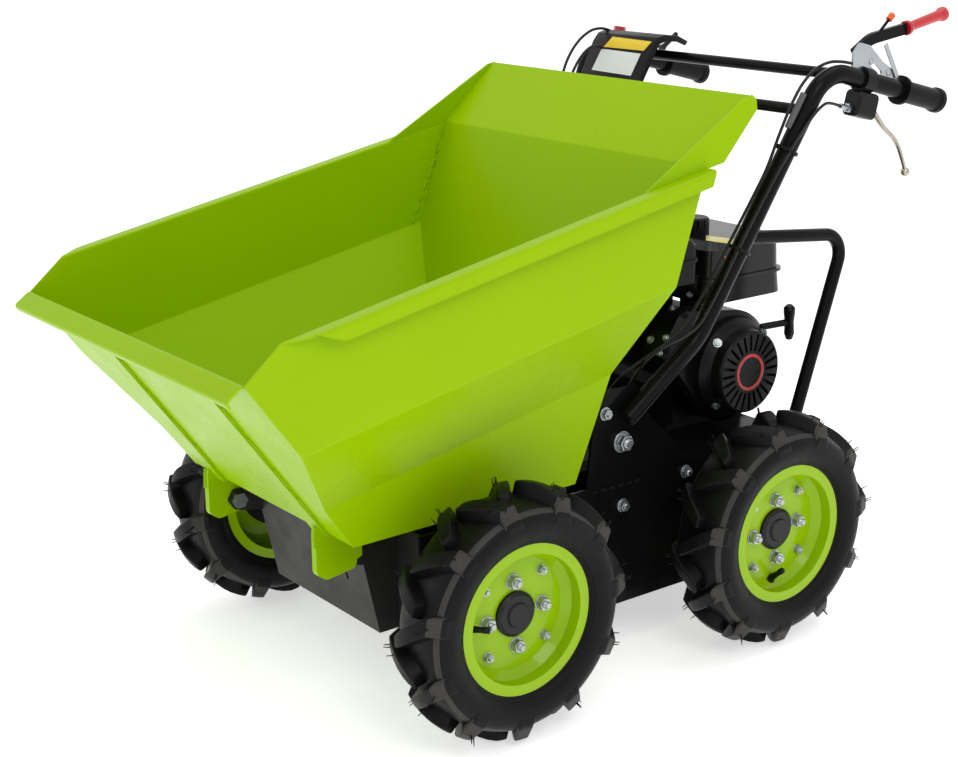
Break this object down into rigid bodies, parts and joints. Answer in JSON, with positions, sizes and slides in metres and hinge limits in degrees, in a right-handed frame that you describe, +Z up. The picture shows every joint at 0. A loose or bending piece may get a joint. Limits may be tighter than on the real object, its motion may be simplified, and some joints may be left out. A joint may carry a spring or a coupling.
{
  "type": "four-wheel walk-behind site dumper",
  "caption": "Walk-behind dumper: lime steel skip with sloped pouring lip tips forward over a black chassis, petrol engine, lugged tyres and tube handlebar.",
  "frame": {"origin": "on the ground under the middle of the machine's overall box", "axes": "+Z up, -Y forward to the pouring lip, +X to the machine's left"},
  "size_m": [0.767, 1.4014, 0.9956],
  "materials": {
    "lime_paint": "gloss",
    "black_powder_coat": "satin",
    "tyre_rubber": "matte",
    "zinc_steel": "satin",
    "cast_engine": "matte",
    "black_plastic": "matte",
    "tank_paint": "gloss",
    "grip_rubber": "matte",
    "red_plastic": "gloss",
    "aluminium": "satin",
    "orange_plastic": "gloss",
    "cable_jacket": "satin"
  },
  "bodies": {
    "chassis": {"air_filter": "black_plastic", "axle_tubes": "black_powder_coat", "cable_adjuster": "zinc_steel", "carburettor": "cast_engine", "chassis_belly": "black_powder_coat", "chassis_left_side": "black_powder_coat", "chassis_nose": "black_powder_coat", "chassis_right_side": "black_powder_coat", "clutch_lever": "aluminium", "clutch_lever_housing": "black_plastic", "control_cables": "cable_jacket", "control_console": "black_plastic", "drive_belt_cover": "black_powder_coat", "engine_block": "cast_engine", "engine_deck": "black_powder_coat", "engine_guards": "black_powder_coat", "engine_switch": "red_plastic", "fan_shroud": "black_powder_coat", "fuel_cap": "black_plastic", "fuel_tank": "tank_paint", "gearbox": "cast_engine", "hand_grips": "grip_rubber", "handlebar_crossbars": "black_powder_coat", "handlebar_tubes": "black_powder_coat", "latch_knob": "orange_plastic", "muffler": "black_powder_coat", "recoil_cover": "black_plastic", "skip_pivot_bolts": "zinc_steel", "skip_rests": "black_powder_coat", "starter_handle": "black_plastic", "tank_mount": "black_powder_coat", "tipping_lever": "black_powder_coat", "tipping_lever_bracket": "zinc_steel", "tipping_lever_grip": "red_plastic"},
    "skip": {"skip_floor": "lime_paint", "skip_left_side": "lime_paint", "skip_pivot_arms": "lime_paint", "skip_rear_wall": "lime_paint", "skip_right_side": "lime_paint", "skip_wings": "lime_paint"},
    "wheel_front_left": {"tyre_front_left": "tyre_rubber", "rim_front_left": "lime_paint", "hub_front_left": "black_powder_coat"},
    "wheel_front_right": {"tyre_front_right": "tyre_rubber", "rim_front_right": "lime_paint", "hub_front_right": "black_powder_coat"},
    "wheel_rear_left": {"tyre_rear_left": "tyre_rubber", "rim_rear_left": "lime_paint", "hub_rear_left": "black_powder_coat"},
    "wheel_rear_right": {"tyre_rear_right": "tyre_rubber", "rim_rear_right": "lime_paint", "hub_rear_right": "black_powder_coat"}
  },
  "joints": [
    {"name": "skip_tip", "type": "hinge", "parent": "chassis", "child": "skip", "pos_m": [0, -0.43715, 0.266], "axis": [1, 0, 0], "range_deg": [0, 85]},
    {"name": "wheel_front_left_spin", "type": "hinge", "parent": "chassis", "child": "wheel_front_left", "pos_m": [0.3305, -0.26515, 0.193], "axis": [1, 0, 0], "continuous": true},
    {"name": "wheel_front_right_spin", "type": "hinge", "parent": "chassis", "child": "wheel_front_right", "pos_m": [-0.3305, -0.26515, 0.193], "axis": [1, 0, 0], "continuous": true},
    {"name": "wheel_rear_left_spin", "type": "hinge", "parent": "chassis", "child": "wheel_rear_left", "pos_m": [0.3305, 0.27085, 0.193], "axis": [1, 0, 0], "continuous": true},
    {"name": "wheel_rear_right_spin", "type": "hinge", "parent": "chassis", "child": "wheel_rear_right", "pos_m": [-0.3305, 0.27085, 0.193], "axis": [1, 0, 0], "continuous": true}
  ]
}
